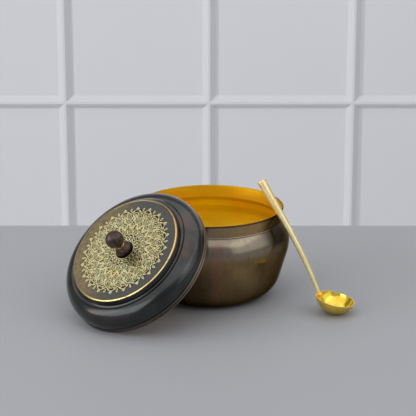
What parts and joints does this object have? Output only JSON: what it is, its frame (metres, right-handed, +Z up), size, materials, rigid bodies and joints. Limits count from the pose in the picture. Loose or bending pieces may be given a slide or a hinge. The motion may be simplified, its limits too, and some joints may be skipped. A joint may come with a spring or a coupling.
{
  "type": "ghee pot with lid and spoon",
  "caption": "Round brass ghee pot, dark outside and golden inside, with a knobbed lid and a spoon leaning on its rim.",
  "frame": {"origin": "centre of the pot's flat base, where it meets the table", "axes": "+Z up along the pot's axis, +Y away from the viewer, +X towards the side where the spoon stands"},
  "size_m": [0.2003, 0.1572, 0.0888],
  "materials": {
    "antique_brass": "brown-black patina outside, polished gold inside",
    "blackened_brass": "blackened, semi-gloss",
    "knob": "dark brown patina, semi-gloss",
    "bright_brass": "polished",
    "spoon_brass": "polished",
    "handle_brass": "pale satin",
    "braze": "rough, coppery"
  },
  "bodies": {
    "pot": {"pot_body": "antique_brass"},
    "lid": {"lid_shell": "blackened_brass", "knob_foot": "knob", "knob_collar": "bright_brass", "knob_ball": "knob", "knob_washer": "bright_brass", "knob_screw": "bright_brass"},
    "spoon": {"spoon_bowl": "spoon_brass", "spoon_handle": "handle_brass", "spoon_braze": "braze"}
  },
  "joints": [
    {"name": "lid_lift", "type": "slide", "parent": "pot", "child": "lid", "axis": [-0.4813, -0.4932, 0.7246], "range_m": [0, 0.11]},
    {"name": "spoon_lift", "type": "slide", "parent": "pot", "child": "spoon", "axis": [0, 0, 1], "range_m": [0, 0.12]}
  ]
}
